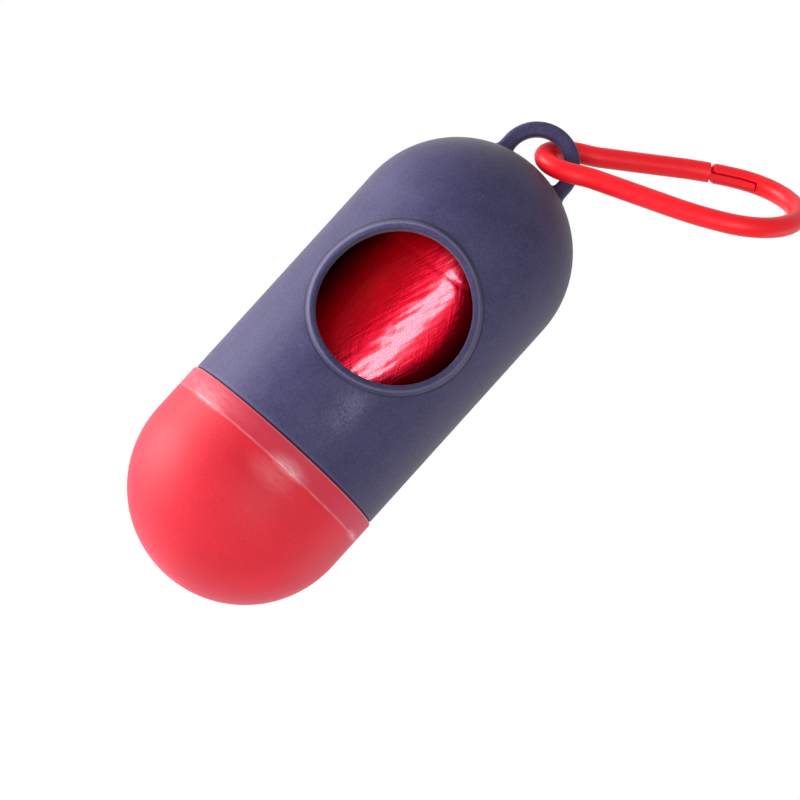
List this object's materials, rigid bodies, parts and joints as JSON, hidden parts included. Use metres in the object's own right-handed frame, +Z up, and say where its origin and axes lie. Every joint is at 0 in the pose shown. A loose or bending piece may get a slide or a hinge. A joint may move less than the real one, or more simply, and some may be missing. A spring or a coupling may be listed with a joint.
{
  "type": "waste bag dispenser",
  "caption": "Capsule waste-bag dispenser: round-ended case with a dispensing window and hanging eye, translucent screw cap, bag roll on its core, and a snap clip.",
  "frame": {"origin": "centre of the hanging eye on the dome", "axes": "+Z up the capsule's axis as it hangs, -Y towards the dispensing window, +X to the right of the window"},
  "size_m": [0.0607, 0.0402, 0.1203],
  "materials": {
    "case_plastic": "fine matt texture",
    "cap_plastic": "frosted translucent",
    "core_card": "plain grey-brown board",
    "bag_film": "glossy thin film",
    "clip_plastic": "moulded, soft gloss"
  },
  "bodies": {
    "case": {"case": "case_plastic"},
    "roll_carrier": {"roll_core": "core_card"},
    "cap": {"cap": "cap_plastic"},
    "bag_roll": {"bag_roll": "bag_film"},
    "clip": {"clip_frame": "clip_plastic"},
    "clip_gate": {"clip_gate": "clip_plastic"}
  },
  "joints": [
    {"name": "roll_drop", "type": "slide", "parent": "case", "child": "roll_carrier", "axis": [0, 0, -1], "range_m": [0, 0.00438]},
    {"name": "cap_turn", "type": "hinge", "parent": "roll_carrier", "child": "cap", "pos_m": [0, 0, -0.0739], "axis": [0, 0, -1], "range_deg": [0, 630]},
    {"name": "roll_spin", "type": "hinge", "parent": "roll_carrier", "child": "bag_roll", "pos_m": [0, 0, -0.05], "axis": [0, 0, 1], "continuous": true},
    {"name": "clip_swing", "type": "hinge", "parent": "case", "child": "clip", "pos_m": [0, 0, 0.00195], "axis": [0, -1, 0], "range_deg": [0, 120]},
    {"name": "gate_open", "type": "hinge", "parent": "clip", "child": "clip_gate", "pos_m": [0.00232, 0.00456, 0.00607], "axis": [0.4146, 0.4848, -0.7701], "range_deg": [0, 18], "stiffness_Nm_per_rad": 0.01, "springref_deg": -8.59}
  ],
  "couplings": [
    {"joint": "cap_turn", "follows": "roll_drop", "rad_per_m": 2513.3}
  ]
}
